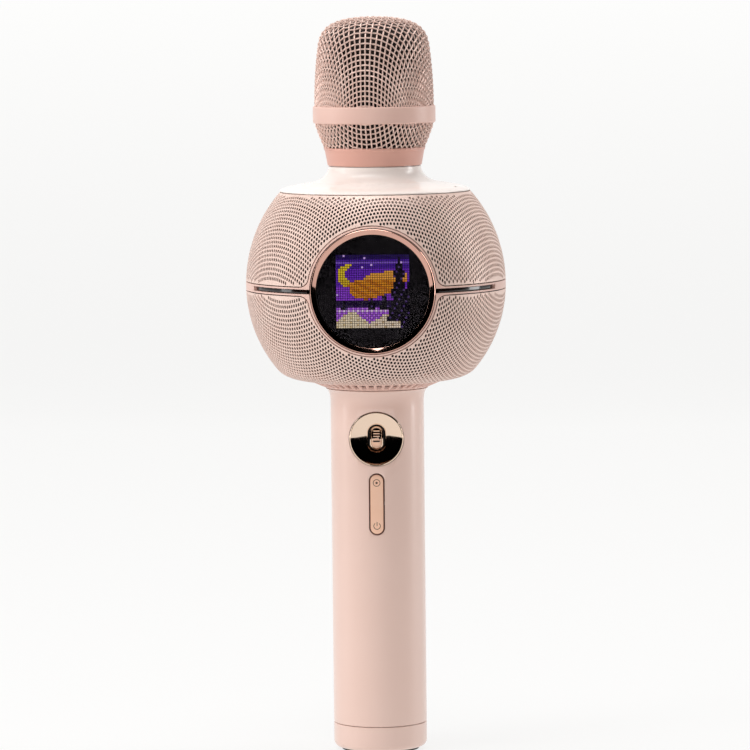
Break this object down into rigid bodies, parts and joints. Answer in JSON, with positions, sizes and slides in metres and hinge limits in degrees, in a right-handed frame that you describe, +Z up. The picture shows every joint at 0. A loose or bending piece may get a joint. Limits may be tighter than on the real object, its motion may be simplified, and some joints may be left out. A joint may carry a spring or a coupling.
{
  "type": "karaoke microphone",
  "caption": "Hand-held karaoke microphone: slim grip with toggle and rocker controls, round perforated loudspeaker body with round picture display, and screw-on wire-mesh head.",
  "frame": {"origin": "middle of the foot's flat underside", "axes": "+Z up along the grip towards the head; -Y is the front, with the display and the controls; +X is to the right seen from the front"},
  "size_m": [0.104, 0.0986, 0.2947],
  "materials": {
    "foot_rubber": "matte moulded rubber",
    "casing_pink": "soft-gloss lacquered ABS",
    "casing_pearl": "gloss pearl lacquer",
    "trim_pink": "satin pink paint",
    "grille_pink": "satin pink paint on perforated steel",
    "mesh_pink": "satin pink plated steel wire",
    "rose_mirror": "rose-gold mirror plating",
    "rose_gold": "satin rose-gold plating",
    "lens_black": "polished smoked acrylic",
    "led_black": "black mask with coloured light cells",
    "smoked_bar": "smoked acrylic",
    "plastic_black": "moulded black ABS",
    "board_green": "solder-masked glass-fibre board",
    "battery_wrap": "shrink-wrapped cell",
    "steel": "bright zinc-plated steel",
    "ferrite": "sintered ferrite",
    "cone_paper": "coated paper pulp",
    "surround_rubber": "moulded rubber",
    "foam_dark": "open-cell acoustic foam",
    "capsule_metal": "brass-coloured capsule can"
  },
  "bodies": {
    "microphone_body": {"base_foot": "foot_rubber", "base_cap": "casing_pink", "cap_screw_left": "steel", "cap_screw_right": "steel", "handle_tube": "casing_pink", "chassis": "plastic_black", "battery_cell": "battery_wrap", "charge_board": "board_green", "usb_socket": "steel", "main_board": "board_green", "button_board": "board_green", "tact_switch_upper": "plastic_black", "tact_switch_lower": "plastic_black", "rocker_bracket": "plastic_black", "rocker_pin": "steel", "switch_dish": "rose_mirror", "toggle_switch": "plastic_black", "core_screw_left": "steel", "core_screw_right": "steel", "core_frame": "plastic_black", "vent_ring": "trim_pink", "lower_grille": "grille_pink", "upper_grille": "grille_pink", "lower_inner_shell": "plastic_black", "upper_inner_shell": "plastic_black", "belt_trim": "trim_pink", "light_bar_left": "smoked_bar", "light_bar_right": "smoked_bar", "display_bezel": "rose_mirror", "display_lens": "lens_black", "led_panel": "led_black", "display_housing": "plastic_black", "speaker_basket": "steel", "speaker_magnet": "ferrite", "speaker_surround": "surround_rubber", "speaker_screw_1": "steel", "speaker_screw_2": "steel", "speaker_screw_3": "steel", "speaker_screw_4": "steel", "neck_shell": "casing_pearl", "capsule_mount": "surround_rubber", "mic_capsule": "capsule_metal"},
    "head": {"head_collar": "trim_pink", "grille_basket": "mesh_pink", "grille_band": "trim_pink", "grille_dome": "mesh_pink", "windscreen_foam": "foam_dark"},
    "rocker": {"rocker_bar": "rose_gold"},
    "toggle": {"toggle_key": "rose_mirror"},
    "cone": {"speaker_cone": "cone_paper"}
  },
  "joints": [
    {"name": "head_unscrew", "type": "hinge", "parent": "microphone_body", "child": "head", "pos_m": [0, 0, 0.235], "axis": [0, 0, 1], "continuous": true},
    {"name": "rocker_tilt", "type": "hinge", "parent": "microphone_body", "child": "rocker", "pos_m": [0, -0.0146, 0.1009], "axis": [1, 0, 0], "range_deg": [-1.8, 1.8], "stiffness_Nm_per_rad": 0.6},
    {"name": "toggle_tilt", "type": "hinge", "parent": "microphone_body", "child": "toggle", "pos_m": [0, -0.01014, 0.127], "axis": [1, 0, 0], "range_deg": [-8, 8], "stiffness_Nm_per_rad": 0.08},
    {"name": "cone_excursion", "type": "slide", "parent": "microphone_body", "child": "cone", "axis": [0, 1, 0], "range_m": [-0.0008, 0.0008], "stiffness_N_per_m": 900}
  ]
}
